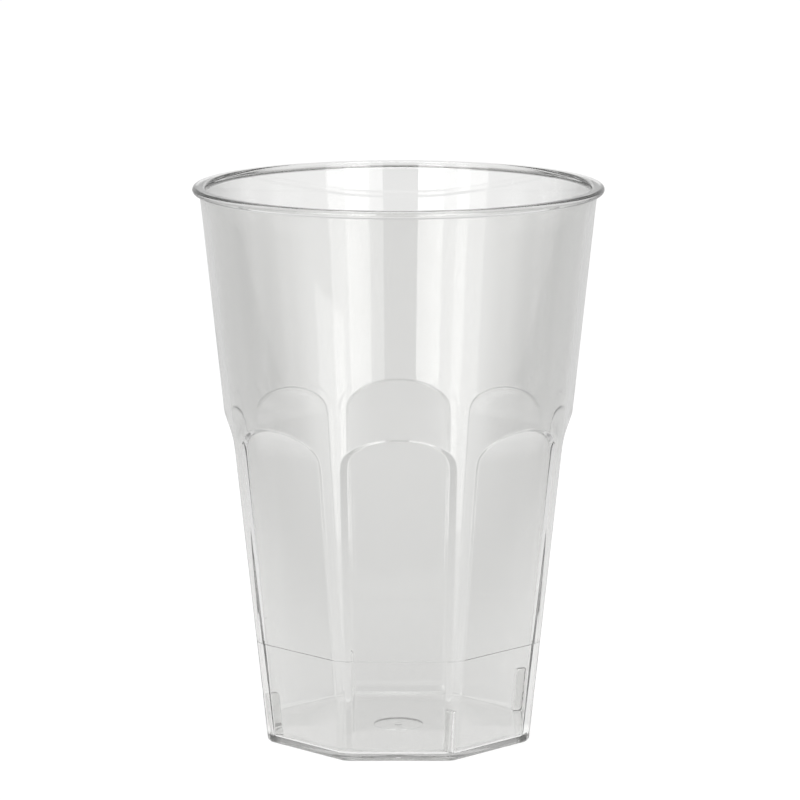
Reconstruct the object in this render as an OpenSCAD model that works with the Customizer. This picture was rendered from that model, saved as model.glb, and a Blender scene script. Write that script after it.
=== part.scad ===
// Clear plastic tumbler: a round cup whose lower wall is eight flat facets under scooped, arched tops.
// Millimetres. The base stands on z = 0, the cup's axis is Z, and one facet faces the front, -Y.
// One moulded piece, so one node: wall, floor, rim bead, stacking ribs and gate mark in a single solid.

/* [Main sizes] */
// Diameter over the rim bead
rim_d = 85; // [70:0.5:100]
// Height from the base to the top of the rim
height = 115.5; // [90:0.5:140]
// Diameter of the round wall carried down to the base
base_d = 58.2; // [48:0.2:68]

/* [Facets] */
// Number of flat facets around the lower wall
facets = 8; // [6:1:10]
// How deep the middle of a facet lies under the round wall
facet_depth = 1.95; // [1:0.05:2.6]
// Height at which a facet stops being flat and its scooped top begins
facet_top = 62.8; // [40:0.1:80]
// Radius of the scoop that runs out into the round wall
scoop_r = 13; // [8:0.5:40]
// Angle at which the scoop leaves the flat
scoop_angle = 3; // [2:0.5:8]

/* [Wall and floor] */
// Thickness of the wall where it is round
round_wall = 1.35; // [1:0.05:2]
// Thickness of the wall behind a facet
facet_wall = 1.05; // [0.8:0.05:1.8]
// Thickness of the floor
floor_t = 1.45; // [1:0.05:3]
// Radius of the outer edge around the base
foot_r = 0.9; // [0.3:0.1:1.3]
// Radius of the inner corner around the floor
corner_r = 0.8; // [0.3:0.1:1.5]

/* [Rim] */
// How far the rim bead stands out past the wall
bead_out = 1.5; // [0.8:0.1:2.5]
// Height of the rim bead
bead_h = 1.5; // [1:0.1:3]
// Radius of the rounded inner edge of the rim
lip_r = 0.9; // [0.4:0.1:1.2]

/* [Stacking ribs] */
// Number of ribs that hold a stacked cup clear of the floor
ribs = 4; // [2:1:4]
// Thickness of a rib
rib_t = 1.1; // [0.8:0.1:2]
// How far a rib stands in from the corner wall
rib_in = 2.3; // [1.5:0.1:4]
// Height of the top of the ribs above the base
rib_top = 10.6; // [6:0.1:20]
// Radius of the rounded upper corner of a rib
rib_r = 0.6; // [0.2:0.1:1]

/* [Gate mark] */
// Diameter of the shallow dimple under the floor
gate_d = 10.4; // [6:0.2:16]
// Depth of the dimple
gate_depth = 0.4; // [0.2:0.05:0.6]
// Diameter of the gate pip in the dimple
pip_d = 1.6; // [1:0.1:3]
// Length of the gate pip, kept shorter than the dimple is deep
pip_h = 0.25; // [0.1:0.05:0.5]

/* [Hidden] */
$fn = 120;
tiny = 0.02;
cone_top = rim_d / 2 - bead_out;
cone_foot = base_d / 2;
lean = atan((cone_top - cone_foot) / (height - bead_h));
step_angle = 360 / facets;

// Radius of a leaning line at height z, from its radius at the base plane
function at(foot, z) = foot + z * tan(lean);
// Distance from a leaning line to the middle of an arc that touches both it and a level line under it
function inset(r) = r * (1 - sin(lean)) / cos(lean);

// Everything inside a leaning line from height z0 up to z1, with the lower corner rounded
module lean_section(foot, z0, z1, r) {
    mid = at(foot, z0) - inset(r);
    union() {
        polygon([[0, z0], [mid, z0], [mid, z0 + r], [mid + r * cos(lean), z0 + r - r * sin(lean)],
                 [at(foot, z1), z1], [0, z1]]);
        translate([mid, z0 + r]) circle(r);
    }
}

// A point beside a leaning line: so far along it from its foot, and so far out from it
function beside(foot, along, out) = [foot + along * sin(lean) + out * cos(lean), along * cos(lean) - out * sin(lean)];

// Everything out past one facet, in section: past the flat up to the scoop, and past the scoop over it
module past_facet(flat, z0, z1, scoop) {
    // level between the two crossings of the scoop and the flat, of which only the upper one shows
    between = facet_top - scoop * sin(scoop_angle) * cos(lean);
    hub = beside(flat, between / cos(lean), scoop * cos(scoop_angle));
    far = hub[0] + 2 * scoop;
    difference() {
        polygon([[at(flat, z0 - 1), z0 - 1], [at(flat, z1 + 1), z1 + 1], [far, z1 + 1], [far, z0 - 1]]);
        // wall left standing over the scoop
        difference() {
            translate([flat - scoop, between]) square([far + 1 - flat + scoop, z1 + 2 - between]);
            translate(hub) circle(scoop);
        }
    }
}

// Block that takes one facet and its scooped top off a round form, in section, with its lower corner rounded
module facet_tool(foot, depth, z0, z1, r, scoop) {
    flat = foot - depth;
    mid = [at(flat, z0) - inset(r), z0 + r];
    difference() {
        translate([mid[0], z0 - 0.5]) square([at(foot, z1) - mid[0] + 1, facet_top + scoop]);
        difference() {
            translate([mid[0] - 1, z0 - 2 * r]) square([at(foot, z1) - mid[0] + 4, z1 + 2 * r]);
            past_facet(flat, z0, z1, scoop);
            difference() {
                polygon([[mid[0], z0 - 3 * r], mid, mid + r * [cos(lean), -sin(lean)],
                         mid + 2 * r * [cos(lean), -sin(lean)], [mid[0] + 2 * r, z0 - 3 * r]]);
                translate(mid) circle(r);
            }
        }
    }
}

// A round form with the facets taken off it
module faceted(foot, depth, z0, z1, r, scoop) {
    width = 2 * sqrt(pow(at(foot, facet_top), 2) - pow(at(foot - depth, facet_top), 2)) + 3;
    difference() {
        rotate_extrude() lean_section(foot, z0, z1, r);
        for (i = [0 : facets - 1]) rotate(-90 + i * step_angle) rotate([90, 0, 0])
            linear_extrude(width, center = true) facet_tool(foot, depth, z0, z1, r, scoop);
    }
}

// Outside of the cup without its rim
module outside() {
    faceted(cone_foot, facet_depth, 0, height - bead_h / 2, foot_r, scoop_r);
}

// Rim bead: a half-round edge on a flat ring, with a small fillet under it
module bead() {
    r = bead_h / 2;
    wall = at(cone_foot, height - bead_h);
    rotate_extrude() {
        translate([cone_top - 2 * round_wall, height - bead_h])
            square([rim_d / 2 - r - cone_top + 2 * round_wall, bead_h]);
        translate([rim_d / 2 - r, height - r]) circle(r);
        // fillet between the wall and the underside of the bead
        difference() {
            translate([wall - round_wall, height - bead_h - r / 2]) square([round_wall + r / 2, r / 2 + tiny]);
            translate([wall + r / 2, height - bead_h - r / 2]) circle(r / 2);
        }
    }
}

// Space inside the cup, following the facets, open at the top
module inside() {
    foot = cone_foot - round_wall;
    depth = facet_depth - round_wall + facet_wall;
    faceted(foot, depth, floor_t, height + 1, corner_r, scoop_r + facet_wall);
    // the rounded inner edge of the rim
    mid = at(foot, height - lip_r) + lip_r / cos(lean);
    rotate_extrude() difference() {
        polygon([[0, height - lip_r], [mid, height - lip_r], [mid, height + 1], [0, height + 1]]);
        translate([mid, height - lip_r]) circle(lip_r);
    }
}

// Upright rib in a corner of the floor, its inner edge parallel to the wall
module rib() {
    wall = cone_foot - round_wall / 2;
    edge = cone_foot - round_wall - rib_in;
    mid = [at(edge, rib_top - rib_r) + (rib_r - tiny) / cos(lean), rib_top - rib_r + tiny];
    rotate([90, 0, 0]) linear_extrude(rib_t, center = true) difference() {
        polygon([[at(edge, floor_t / 2), floor_t / 2], [at(edge, rib_top), rib_top],
                 [at(wall, rib_top), rib_top], [at(wall, floor_t / 2), floor_t / 2]]);
        // round the free upper corner
        difference() {
            translate(mid - [2 * rib_r, 0]) square(2 * rib_r);
            translate(mid) circle(rib_r);
        }
    }
}

module tumbler() {
    color([0.9, 0.92, 0.92, 0.4]) {
        difference() {
            union() {
                outside();
                bead();
            }
            inside();
            // dimple under the floor
            translate([0, 0, -1]) cylinder(d = gate_d, h = 1 + gate_depth);
        }
        // gate pip inside the dimple
        translate([0, 0, gate_depth - pip_h]) cylinder(d = pip_d, h = pip_h + floor_t / 4);
        // ribs in every other corner
        for (i = [0 : ribs - 1]) rotate(-90 + step_angle / 2 + i * round(facets / ribs) * step_angle) rib();
    }
}

tumbler();
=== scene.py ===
import math

import bpy
import numpy as np
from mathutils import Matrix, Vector


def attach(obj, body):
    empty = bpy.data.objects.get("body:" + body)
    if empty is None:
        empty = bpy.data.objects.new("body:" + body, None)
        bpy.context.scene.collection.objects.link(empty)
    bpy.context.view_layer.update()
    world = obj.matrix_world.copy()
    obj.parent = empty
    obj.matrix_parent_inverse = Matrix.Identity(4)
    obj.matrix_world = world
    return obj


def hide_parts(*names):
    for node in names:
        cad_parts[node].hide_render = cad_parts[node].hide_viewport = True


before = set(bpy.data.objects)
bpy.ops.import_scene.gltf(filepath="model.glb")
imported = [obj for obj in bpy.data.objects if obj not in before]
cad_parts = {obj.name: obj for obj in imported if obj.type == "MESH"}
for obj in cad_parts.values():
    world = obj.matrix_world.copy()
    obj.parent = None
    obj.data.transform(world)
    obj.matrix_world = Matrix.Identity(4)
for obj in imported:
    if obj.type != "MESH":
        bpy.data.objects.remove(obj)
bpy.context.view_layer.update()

mm = 0.001
scene = bpy.context.scene

# The cup in millimetres, base on z = 0, one facet facing the front
cup = {
    "height": 115.5,
    "rimAcross": 85.0,
    "baseAcross": 58.2,
    "facets": 8,
    "facetDepth": 1.95,
    "facetTop": 62.8,
    "scoopRadius": 13.0,
    "scoopAngle": 3.0,
    "roundWall": 1.35,
    "facetWall": 1.05,
    "floor": 1.45,
    "footRound": 0.9,
    "cornerRound": 0.8,
    "beadOut": 1.5,
    "beadHeight": 1.5,
    "lipRound": 0.9,
    "edgeSoft": 0.08,  # how far the edges between facets and round wall are eased outside
    "edgeSoftInside": 0.1,
    "kinkSoft": 0.15,  # the same where a flat turns into its scoop
    "seamHeight": 21.4,  # fine ring inside, as a joint in the mould's core leaves one
    "seamStep": 0.1,
    "seamSpread": 0.25,
}

# Stacking ribs in every other corner
ribs = {
    "every": 2,
    "thick": 1.1,
    "reach": 2.3,
    "top": 10.6,
    "topRound": 0.6,
    "edgeRound": 0.2,
    "edgeMiddle": 0.3,  # share of it that the middle of the round edge stands back
}

# Gate mark under the floor
gate = {"across": 10.4, "depth": 0.4, "pipAcross": 1.6, "pipHeight": 0.25}

# How finely the mesh is cut
grid = {
    "flatColumns": 9,  # columns on half a facet
    "stripColumns": 7,  # and on half a strip beside it
    "crowding": 2.4,  # the power by which they crowd towards the crease
    "archTop": 70.5,  # above this height they spread out evenly
    "spreadOver": 8.0,  # over so many millimetres
    "leastHalf": 1.6,  # a facet's columns reach at least so far from its middle
    "roundShare": 0.55,  # share of a half sector that they take on round rows
    "leastRadius": 5.0,  # further in the columns would cross one another, so they keep their angles
    "curveRows": 6,  # rows of a small curve
    "filletRows": 4,
    "beadRows": 14,
    "lipRows": 8,
    "underRings": (9.0, 15.0, 21.0),  # plain rings under the floor
    "lowSteps": (9.0, 7.0, 5.0, 3.2),  # rows of the wall beside the ribs
    "floorRings": (24.4, 20.0, 15.0, 10.0, 5.0, 2.0, 0.0),
    # rows of the wall: from, to and about how far apart, close at the seam and at the arches
    "wallSteps": (
        (2.4, 20.8, 3.0),
        (20.8, 22.0, 0.12),
        (22.0, 58.0, 4.0),
        (58.0, 67.5, 0.35),
        (67.5, 70.4, 0.13),
        (70.4, 78.5, 0.8),
        (78.5, 113.2, 4.0),
    ),
    "slopeStep": 1e-4,  # how far the two points that give a slope lie to either side
    "joinDigits": 6,  # points alike to so many digits become one
    "sharpFrom": 40.0,  # degrees between faces at an edge that stays sharp
    "normalMatch": 0.985,  # beside the ribs, where the two agree less, the mesh keeps its own normal
}

coneTop = cup["rimAcross"] / 2 - cup["beadOut"]
coneFoot = cup["baseAcross"] / 2
slope = (coneTop - coneFoot) / (cup["height"] - cup["beadHeight"])
lean = math.atan(slope)
half = math.pi / cup["facets"]  # half a sector, from the middle of a facet to the middle of a strip
front = -math.pi / 2  # direction of the front facet's middle

# The faceted form outside the wall and the one inside it
outer = {
    "foot": coneFoot,
    "depth": cup["facetDepth"],
    "scoop": cup["scoopRadius"],
    "soft": cup["edgeSoft"],
    "seam": 0.0,
}
inner = {
    "foot": coneFoot - cup["roundWall"],
    "depth": cup["facetDepth"] - cup["roundWall"] + cup["facetWall"],
    "scoop": cup["scoopRadius"] + cup["facetWall"],
    "soft": cup["edgeSoftInside"],
    "seam": cup["seamStep"],
}


# the smaller of two values, rounded over a width of k where they are alike
def softMin(a, b, k):
    near = np.maximum(k - np.abs(a - b), 0) / k
    return np.minimum(a, b) - near * near * k / 4


# from 0 to 1 with an eased start and end
def smooth(x):
    x = np.clip(x, 0, 1)
    return x * x * (3 - 2 * x)


# how far the facet, or the scoop above it, lies from the axis at height z
def flatOut(form, z):
    flat, scoop = form["foot"] - form["depth"], form["scoop"]
    turn = math.radians(cup["scoopAngle"])
    between = cup["facetTop"] - scoop * math.sin(turn) * math.cos(lean)
    along, out = between / math.cos(lean), scoop * math.cos(turn)
    hubOut = flat + along * math.sin(lean) + out * math.cos(lean)
    hubUp = along * math.cos(lean) - out * math.sin(lean)
    line = flat + z * slope
    least = 0.01  # keeps the root real past the end of the scoop
    arc = hubOut - np.sqrt(np.maximum(scoop ** 2 - (z - hubUp) ** 2, least))
    return np.where(z > between, -softMin(-line, -arc, cup["kinkSoft"]), line)


# radius of the faceted form at height z and at an angle from the middle of a facet
def formRadius(form, z, angle, inset=0.0):
    inset = inset + form["seam"] * smooth((cup["seamHeight"] - z) / cup["seamSpread"] + 0.5)
    turned = np.abs((angle + half) % (2 * half) - half)
    wall = form["foot"] + z * slope - inset
    return softMin(wall, (flatOut(form, z) - inset) / np.cos(turned), form["soft"])


# how far the columns have spread out above the arches, from 0 to 1
def spreadAt(z):
    return float(smooth((z - grid["archTop"]) / grid["spreadOver"]))


# angle at which facet and round wall meet, opened out again above the arch
def creaseAngle(form, z):
    wall = form["foot"] + z * slope
    meet = math.acos(min(1.0, float(flatOut(form, np.float64(z))) / wall))
    share = grid["flatColumns"] / (grid["flatColumns"] + grid["stripColumns"])
    crease = max(meet, grid["leastHalf"] / wall)
    return crease + (half * share - crease) * spreadAt(z)


# a rib's own columns: where they lie across it, and how far each stands back from its inner edge
edgeCurve = np.array([0, ribs["edgeMiddle"], 1]) * ribs["edgeRound"]
ribOffsets = np.concatenate([edgeCurve - ribs["thick"] / 2, ribs["thick"] / 2 - edgeCurve[::-1]])
ribBacks = np.concatenate([edgeCurve[::-1], edgeCurve])


# angles of all columns at one height: facet, strip and the fine columns in the middle of the strip
def columnAngles(crease, z, radius):
    crowd = grid["crowding"] + (1 - grid["crowding"]) * spreadAt(z)
    u = np.linspace(0, 1, grid["flatColumns"] + 1)
    v = np.linspace(0, 1, grid["stripColumns"] + 1)[1:]
    end = half - math.asin(ribs["thick"] / 2 / radius)
    side = np.concatenate([crease * (1 - (1 - u) ** crowd), crease + (end - crease) * v ** crowd])
    oneSector = np.concatenate([-side[:0:-1], side, half + np.arcsin(ribOffsets / radius)])
    first = front + 2 * half * np.arange(cup["facets"])[:, None]
    return (first + oneSector).ravel()


# each row is (points, normals or None), from the middle of the underside round to the middle of the floor
rows = []


def addRow(radius, angles, z, normals=None):
    radius = np.broadcast_to(radius, angles.shape)
    z = np.broadcast_to(z, angles.shape)
    rows.append((np.stack([radius * np.cos(angles), radius * np.sin(angles), z], 1), normals))


def roundRow(radius, z):
    crease = half * grid["roundShare"]
    addRow(radius, columnAngles(crease, cup["height"], max(radius, grid["leastRadius"])), z)


def wallRow(form, z, side):
    angles = columnAngles(creaseAngle(form, z), z, form["foot"] + z * slope)
    local = angles - front
    radius = formRadius(form, z, local)
    step = grid["slopeStep"]
    around = (formRadius(form, z, local + step) - formRadius(form, z, local - step)) / (2 * step) / radius
    up = (formRadius(form, z + step, local) - formRadius(form, z - step, local)) / (2 * step)
    out = np.stack([np.cos(angles), np.sin(angles), np.zeros_like(angles)], 1)
    tangent = np.stack([-np.sin(angles), np.cos(angles), np.zeros_like(angles)], 1)
    normals = out - around[:, None] * tangent - up[:, None] * np.array([0, 0, 1.0])
    normals *= side / np.linalg.norm(normals, axis=1)[:, None]
    addRow(radius, angles, z, normals)


# a rounded corner between the leaning wall and a level face at height z0
def cornerRows(form, z0, radius, downwards):
    back = radius * (1 - math.sin(lean)) / math.cos(lean)
    turns = np.linspace(-math.pi / 2, -lean, grid["curveRows"] + 1)[:-1]
    for turn in turns[::-1] if downwards else turns:
        z = z0 + radius + radius * math.sin(turn)
        inset = (z - z0) * slope + back - radius * math.cos(turn)
        angles = columnAngles(creaseAngle(form, z), z, form["foot"] + z * slope)
        addRow(formRadius(form, z, angles - front, inset), angles, z)


def arcRows(outAt, upAt, radius, start, stop, count):
    for turn in np.radians(np.linspace(start, stop, count + 1)):
        roundRow(outAt + radius * math.cos(turn), upAt + radius * math.sin(turn))


def steps(*stops):
    heights = []
    for low, high, gap in stops:
        heights += list(np.linspace(low, high, max(int(round((high - low) / gap)), 1) + 1))[:-1]
    return heights


def layUnderside():
    roundRow(0.0, gate["depth"] - gate["pipHeight"])
    roundRow(gate["pipAcross"] / 2, gate["depth"] - gate["pipHeight"])
    roundRow(gate["pipAcross"] / 2, gate["depth"])
    roundRow(gate["across"] / 2, gate["depth"])
    roundRow(gate["across"] / 2, 0.0)
    for radius in grid["underRings"]:
        roundRow(radius, 0.0)


def layOutside():
    cornerRows(outer, 0.0, cup["footRound"], False)
    for z in [cup["footRound"] * (1 - math.sin(lean))] + steps(*grid["wallSteps"]):
        wallRow(outer, z, 1)


def layRim():
    beadRound = cup["beadHeight"] / 2
    under = cup["height"] - cup["beadHeight"]
    arcRows(coneTop + beadRound / 2, under - beadRound / 2, beadRound / 2, 180, 90, grid["filletRows"])
    arcRows(cup["rimAcross"] / 2 - beadRound, cup["height"] - beadRound, beadRound, -90, 90, grid["beadRows"])
    lipZ = cup["height"] - cup["lipRound"]
    lipOut = inner["foot"] + lipZ * slope + cup["lipRound"] / math.cos(lean)
    arcRows(lipOut, lipZ, cup["lipRound"], 90, 180, grid["lipRows"])


ribTurns = np.linspace(0, math.pi / 2, grid["curveRows"])  # round the free upper corner of a rib


# the wall down to the floor, and which rows the ribs stand in
def layInside():
    for z in steps(*grid["wallSteps"])[::-1]:
        if z > ribs["top"]:
            wallRow(inner, z, -1)
    ribFirst = len(rows)
    for turn in np.concatenate([[-1, 0], ribTurns]):
        wallRow(inner, ribs["top"] - ribs["topRound"] * (1 - math.cos(max(turn, 0))), -1)
    for z in (*grid["lowSteps"], cup["floor"] + cup["cornerRound"] * (1 - math.sin(lean))):
        wallRow(inner, z, -1)
    cornerRows(inner, cup["floor"], cup["cornerRound"], True)
    ribLast = len(rows)
    for radius in grid["floorRings"]:
        roundRow(radius, cup["floor"])
    return ribFirst, ribLast


# the fine columns of every other strip stand in from the wall as a rib
def standRibs(ribFirst, ribLast):
    columnsInSector = 2 * (grid["flatColumns"] + grid["stripColumns"]) + 1 + len(ribOffsets)
    ribEdge = inner["foot"] - ribs["reach"]
    capOut = ribEdge + (ribs["top"] - ribs["topRound"]) * slope + ribs["topRound"]
    for sector in range(0, cup["facets"], ribs["every"]):
        middle = front + (2 * sector + 1) * half
        outward = np.array([math.cos(middle), math.sin(middle), 0])
        across = np.array([-math.sin(middle), math.cos(middle), 0])
        first = (sector + 1) * columnsInSector - len(ribOffsets)
        last = first + len(ribOffsets) - 1
        for k in range(ribFirst + 1, ribLast + 1):
            points = rows[k][0]
            z = points[first, 2]
            turn = max(k - ribFirst - 2, 0)  # two rows alike end the flat top
            if turn < len(ribTurns):
                along = capOut - ribs["topRound"] * math.sin(ribTurns[turn]) + ribBacks
            else:
                along = ribEdge + z * slope + ribBacks
            for n, offset in enumerate(ribOffsets):
                points[first + n] = along[n] * outward + offset * across + np.array([0, 0, z])
            if k == ribLast:  # on the floor the columns on both sides close up with it
                points[first - 1] = points[first]
                points[(last + 1) % len(points)] = points[last]


# one closed mesh out of the rows, with touching points joined
def closedMesh(name):
    points = np.concatenate([r[0] for r in rows])
    around = len(rows[0][0])
    normals = np.concatenate([np.zeros_like(p) if n is None else n for p, n in rows])
    rounded = np.round(points, grid["joinDigits"])
    firstOf, joined = np.unique(rounded, axis=0, return_index=True, return_inverse=True)[1:]
    joined = joined.ravel()
    low = np.arange(len(rows) - 1)[:, None] * around + np.arange(around)
    high = np.arange(len(rows) - 1)[:, None] * around + (np.arange(around) + 1) % around
    quads = joined[np.stack([low, high, high + around, low + around], 2).reshape(-1, 4)]
    faces = []
    for quad in quads.tolist():
        face = [v for n, v in enumerate(quad) if v != quad[n - 1]]
        if len(face) > 2 and len(set(face)) == len(face):
            faces.append(face)
    mesh = bpy.data.meshes.new(name)
    mesh.from_pydata((points[firstOf] * mm).tolist(), [], faces)
    mesh.validate()
    mesh.shade_smooth()
    mesh.set_sharp_from_angle(angle=math.radians(grid["sharpFrom"]))
    own = np.array([n.vector[:] for n in mesh.corner_normals])
    corner = np.empty(len(mesh.loops), int)
    mesh.loops.foreach_get("vertex_index", corner)
    exact = normals[firstOf][corner]
    good = np.einsum("ij,ij->i", exact, own) > grid["normalMatch"]
    own[good] = exact[good]
    mesh.normals_split_custom_set(own.tolist())
    body = bpy.data.objects.new(name, mesh)
    scene.collection.objects.link(body)
    return body


layUnderside()
layOutside()
layRim()
standRibs(*layInside())
print("underside, wall, rim and ribs laid in", len(rows), "rows")

# Clear plastic: hardly tinted, with slow waves from the flow into the mould
plastic = {
    "colour": (0.875, 0.875, 0.868, 1.0),
    "depthColour": (0.02, 0.02, 0.0, 1.0),  # nearly black, so long ways through it lose all colours alike
    "depthLoss": 8.0,  # per metre
    "ior": 1.59,
    "roughLow": 0.012,
    "roughHigh": 0.03,
    "waveSize": 60.0,  # about so many waves in a metre
    "waveDetail": 2.0,
    "waveHeight": 0.02,  # in millimetres
}


def nodeIn(tree, kind, **settings):
    node = tree.nodes.new(kind)
    for name, value in settings.items():
        setattr(node, name, value)
    return node


def plasticMaterial():
    material = bpy.data.materials.new("clearMouldedPlastic")
    material.use_nodes = True
    tree = material.node_tree
    shader = tree.nodes["Principled BSDF"]
    shader.inputs["Base Color"].default_value = plastic["colour"]
    shader.inputs["IOR"].default_value = plastic["ior"]
    shader.inputs["Transmission Weight"].default_value = 1.0
    place = nodeIn(tree, "ShaderNodeTexCoord")
    waves = nodeIn(tree, "ShaderNodeTexNoise")
    waves.inputs["Scale"].default_value = plastic["waveSize"]
    waves.inputs["Detail"].default_value = plastic["waveDetail"]
    tree.links.new(place.outputs["Object"], waves.inputs["Vector"])
    rough = nodeIn(tree, "ShaderNodeMapRange")
    rough.inputs["To Min"].default_value = plastic["roughLow"]
    rough.inputs["To Max"].default_value = plastic["roughHigh"]
    tree.links.new(waves.outputs["Fac"], rough.inputs["Value"])
    tree.links.new(rough.outputs["Result"], shader.inputs["Roughness"])
    bump = nodeIn(tree, "ShaderNodeBump")
    bump.inputs["Strength"].default_value = 1.0
    bump.inputs["Distance"].default_value = plastic["waveHeight"] * mm
    tree.links.new(waves.outputs["Fac"], bump.inputs["Height"])
    tree.links.new(bump.outputs["Normal"], shader.inputs["Normal"])
    depth = nodeIn(tree, "ShaderNodeVolumeAbsorption")
    depth.inputs["Color"].default_value = plastic["depthColour"]
    depth.inputs["Density"].default_value = plastic["depthLoss"]
    tree.links.new(depth.outputs[0], tree.nodes["Material Output"].inputs["Volume"])
    return material


tumbler = closedMesh("tumblerBody")
tumbler.data.materials.append(plasticMaterial())
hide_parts("tumbler")
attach(tumbler, "root")
print("tumbler ready,", len(tumbler.data.polygons), "faces")

# Pale studio: white floor and backdrop, with softboxes left and right of the camera and one overhead.
# Levels are pairs of degrees, counted from straight behind the cup to the front, and brightness.
studio = {
    "floorSize": 6.0,
    "floorDrop": 0.0001,  # keeps the floor clear of the cup's base
    "floorColour": (0.15, 0.15, 0.15, 1.0),
    "floorRough": 0.9,
    "floorGlow": 0.92,  # lifts the floor to white for the camera
    # painted light: brighter and darker sectors of glow on the floor around the cup, seen only in reflections
    # and through the cup
    "paintedFloorLevels": (
        (0, 0.88), (4, 0.86), (8, 0.6), (25, 0.58), (45, 0.6), (75, 0.5),
        (100, 0.35), (118, 0.5), (128, 1.0), (150, 1.0), (165, 0.5), (180, 0.42),
    ),
    "paintedNearLevel": 0.82,  # painted light: an even glow on the floor close behind the cup, seen only in reflections and through the cup
    "nearReach": (0.06, 0.38),  # distances between which it gives way to the levels above
    "nearFrom": (-0.03, 0.0),  # places along Y, going back, between which it takes over from them
    "paintedUnderLevel": 1.0,  # painted light: a bright disc of glow on the floor right under the cup, over its own shadow, that reaches further out in front
    "underMiddle": (0.0, -0.007, 0.0),
    "underReach": 0.035,
    "roomLevels": (
        (0, 0.95), (6, 0.9), (12, 0.65), (25, 0.65), (50, 0.85),
        (85, 1.0), (100, 1.0), (155, 1.0), (165, 0.2), (180, 0.15),
    ),
    # share of the room's level that is left at so many degrees above the horizon
    "roomHeights": ((0, 1.0), (9, 0.95), (24, 0.45), (45, 0.5), (70, 0.75), (90, 0.85)),
    # the least share that is left at any height, by direction
    "roomSides": ((0, 0.0), (20, 0.0), (45, 0.8), (110, 0.9), (135, 0.0), (180, 0.0)),
    "roomLight": 0.6,  # what the room gives as light, apart from what is seen in and through the cup
    "lamps": [
        {"at": (0.78, -1.51, 0.86), "size": (1.08, 1.7), "power": 9.2},
        {"at": (0.75, -1.53, 0.86), "size": (0.45, 1.7), "power": 3.4},
        {"at": (-0.81, -1.49, 0.86), "size": (1.0, 1.7), "power": 8.0},
        {"at": (-0.59, -1.59, 0.86), "size": (0.48, 1.7), "power": 4.6},
        {"at": (-1.25, -1.15, 0.86), "size": (0.6, 1.7), "power": 4.0},
        # low, for the strips between the facets
        {"at": (1.25, -1.15, 0.075), "size": (0.6, 0.15), "power": 0.36},
        # overhead
        {"at": (0.0, 0.3, 1.9), "size": (1.0, 1.0), "power": 8.0},
    ],
}
white = (1.0, 1.0, 1.0, 1.0)


# a number is set on the socket itself, an output is linked to it
def feed(tree, socket, value):
    if isinstance(value, (int, float)):
        socket.default_value = value
    else:
        tree.links.new(value, socket)


def mathIn(tree, operation, *values):
    node = nodeIn(tree, "ShaderNodeMath", operation=operation)
    for socket, value in zip(node.inputs, values):
        feed(tree, socket, value)
    return node.outputs[0]


def smoothRange(tree, value, start, stop, low, high):
    node = nodeIn(tree, "ShaderNodeMapRange", interpolation_type="SMOOTHSTEP")
    names = ("Value", "From Min", "From Max", "To Min", "To Max")
    for name, entry in zip(names, (value, start, stop, low, high)):
        feed(tree, node.inputs[name], entry)
    return node.outputs["Result"]


# two switches: the camera looks at the background itself, or a mirror image or a look through plastic does
def raysIn(tree):
    path = nodeIn(tree, "ShaderNodeLightPath")
    through = mathIn(tree, "MAXIMUM", path.outputs["Is Glossy Ray"], path.outputs["Is Transmission Ray"])
    return path.outputs["Is Camera Ray"], through


# brightness read from pairs of degrees and level, where a share of 1 stands for the most degrees
def levelRamp(tree, share, levels, most):
    ramp = nodeIn(tree, "ShaderNodeValToRGB")
    stops = ramp.color_ramp.elements
    while len(stops) < len(levels):
        stops.new(0.5)
    for stop, (degrees, level) in zip(stops, levels):
        stop.position = degrees / most
        stop.color = (level, level, level, 1)
    tree.links.new(share, ramp.inputs[0])
    return ramp.outputs["Color"]


# direction from the cup: its X, Y and Z, and the turn from straight behind, 0, to the front, 1
def directionIn(tree, vector):
    parts = nodeIn(tree, "ShaderNodeSeparateXYZ")
    tree.links.new(vector, parts.inputs[0])
    turn = mathIn(tree, "ARCTAN2", parts.outputs["X"], parts.outputs["Y"])
    return parts, mathIn(tree, "DIVIDE", mathIn(tree, "ABSOLUTE", turn), math.pi)


def makeFloor():
    side = studio["floorSize"] / 2
    corners = [(-side, -side, 0), (side, -side, 0), (side, side, 0), (-side, side, 0)]
    mesh = bpy.data.meshes.new("studioFloor")
    mesh.from_pydata(corners, [], [(0, 1, 2, 3)])
    floor = bpy.data.objects.new("studioFloor", mesh)
    floor.location.z = -studio["floorDrop"]
    scene.collection.objects.link(floor)
    mesh.materials.append(floorMaterial())


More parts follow.
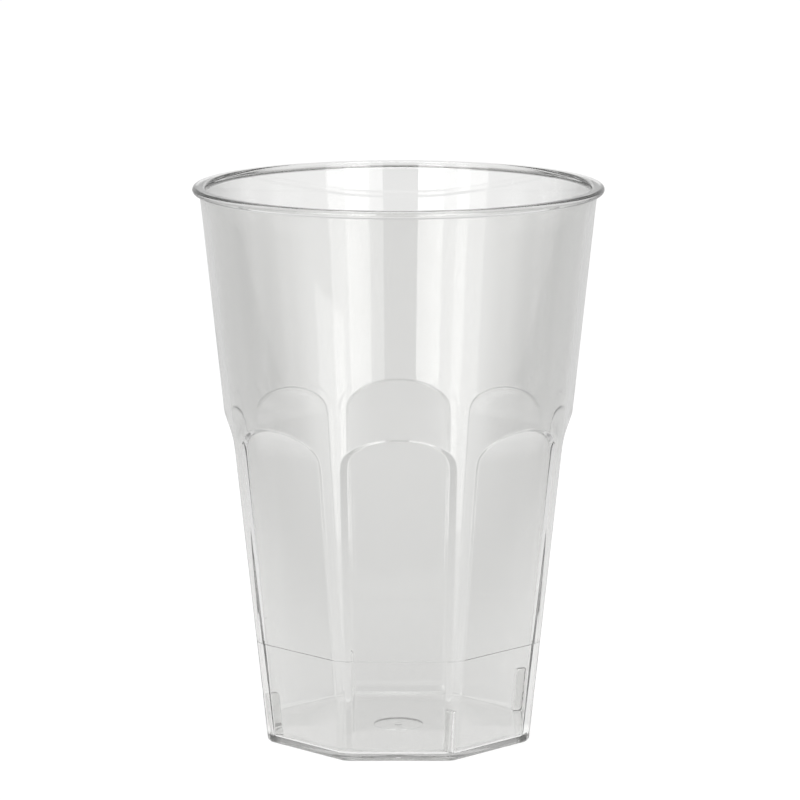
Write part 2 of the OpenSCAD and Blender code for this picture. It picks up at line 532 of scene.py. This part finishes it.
def floorMaterial():
    material = bpy.data.materials.new("whiteFloor")
    material.use_nodes = True
    tree = material.node_tree
    shader = tree.nodes["Principled BSDF"]
    shader.inputs["Base Color"].default_value = studio["floorColour"]
    shader.inputs["Roughness"].default_value = studio["floorRough"]
    shader.inputs["Specular IOR Level"].default_value = 0.0
    shader.inputs["Emission Color"].default_value = white
    place = nodeIn(tree, "ShaderNodeTexCoord").outputs["Object"]
    cameraSees, throughSees = raysIn(tree)
    parts, share = directionIn(tree, place)
    # painted light: the floor's glow in brighter and darker sectors by direction
    around = levelRamp(tree, share, studio["paintedFloorLevels"], 180)
    away = nodeIn(tree, "ShaderNodeVectorMath", operation="LENGTH")
    tree.links.new(place, away.inputs[0])
    # painted light: close behind the cup the floor glows evenly, in front of it the painted pattern of
    # sectors starts at its foot
    near = smoothRange(tree, away.outputs["Value"], *studio["nearReach"], studio["paintedNearLevel"], around)
    behind = smoothRange(tree, parts.outputs["Y"], *studio["nearFrom"], around, near)
    off = nodeIn(tree, "ShaderNodeVectorMath", operation="DISTANCE")
    off.inputs[1].default_value = studio["underMiddle"]
    tree.links.new(place, off.inputs[0])
    # painted light: a bright disc under the cup, over its own shadow, seen through the cup's floor
    under = mathIn(tree, "LESS_THAN", off.outputs["Value"], studio["underReach"])
    level = mathIn(tree, "MAXIMUM", mathIn(tree, "MULTIPLY", under, studio["paintedUnderLevel"]), behind)
    # the painted glow is seen only in reflections and through the cup; the camera itself sees the floor
    # evenly white
    through = mathIn(tree, "MULTIPLY", level, throughSees)
    glow = mathIn(tree, "MULTIPLY_ADD", cameraSees, studio["floorGlow"], through)
    tree.links.new(glow, shader.inputs["Emission Strength"])
    return material


def chooseIn(tree, share, first, second):
    node = nodeIn(tree, "ShaderNodeMixShader")
    tree.links.new(share, node.inputs[0])
    tree.links.new(first.outputs[0], node.inputs[1])
    tree.links.new(second.outputs[0], node.inputs[2])
    return node


def makeWorld():
    world = bpy.data.worlds.new("studioWorld")
    scene.world = world
    world.use_nodes = True
    tree = world.node_tree
    tree.nodes.clear()
    cameraSees, throughSees = raysIn(tree)
    place = nodeIn(tree, "ShaderNodeTexCoord")
    parts, share = directionIn(tree, place.outputs["Generated"])
    rise = mathIn(tree, "DIVIDE", mathIn(tree, "ARCSINE", parts.outputs["Z"]), math.pi / 2)
    heights = levelRamp(tree, rise, studio["roomHeights"], 90)
    sides = levelRamp(tree, share, studio["roomSides"], 180)
    light = nodeIn(tree, "ShaderNodeBackground")
    light.inputs["Color"].default_value = white
    light.inputs["Strength"].default_value = studio["roomLight"]
    room = nodeIn(tree, "ShaderNodeBackground")
    tree.links.new(levelRamp(tree, share, studio["roomLevels"], 180), room.inputs["Color"])
    tree.links.new(mathIn(tree, "MAXIMUM", heights, sides), room.inputs["Strength"])
    backdrop = nodeIn(tree, "ShaderNodeBackground")
    backdrop.inputs["Color"].default_value = white
    lit = chooseIn(tree, throughSees, light, room)
    seen = chooseIn(tree, cameraSees, lit, backdrop)
    out = nodeIn(tree, "ShaderNodeOutputWorld")
    tree.links.new(seen.outputs[0], out.inputs["Surface"])


def makeLamps():
    for n, lamp in enumerate(studio["lamps"]):
        light = bpy.data.lights.new(f"softBox{n}", "AREA")
        light.shape = "RECTANGLE"
        light.size, light.size_y = lamp["size"]
        light.energy = lamp["power"]
        box = bpy.data.objects.new(light.name, light)
        box.location = lamp["at"]
        # a tall box looks level at the cup's axis, any other at its base
        aim = (0, 0, lamp["at"][2]) if lamp["size"][0] < lamp["size"][1] else (0, 0, 0)
        box.rotation_euler = (Vector(aim) - box.location).to_track_quat("-Z", "Y").to_euler()
        scene.collection.objects.link(box)


# The camera stands where the photograph was taken from: metres, degrees, and lens and sensor in millimetres
view = {
    "back": 0.8733,
    "up": 0.2273,
    "pitch": 10.187,
    "turn": 0.0215,
    "lens": 191.9,
    "sensor": 36.0,
    "nearest": 0.05,  # it sees what lies between these two distances
    "farthest": 20.0,
}


def makeCamera():
    lens = bpy.data.cameras.new("studioCamera")
    lens.lens = view["lens"]
    lens.sensor_width = view["sensor"]
    lens.clip_start = view["nearest"]
    lens.clip_end = view["farthest"]
    camera = bpy.data.objects.new("studioCamera", lens)
    camera.location = (0, -view["back"], view["up"])
    camera.rotation_euler = (math.radians(90 - view["pitch"]), 0, -math.radians(view["turn"]))
    scene.collection.objects.link(camera)
    scene.camera = camera


makeFloor()
makeWorld()
makeLamps()
makeCamera()
print("studio ready")

scene.view_settings.view_transform = "Standard"
# light runs far inside the wall before it comes out at an edge, and fewer bounces make the edges black
bounces = 64
scene.cycles.max_bounces = bounces
scene.cycles.transmission_bounces = bounces
scene.cycles.glossy_bounces = bounces
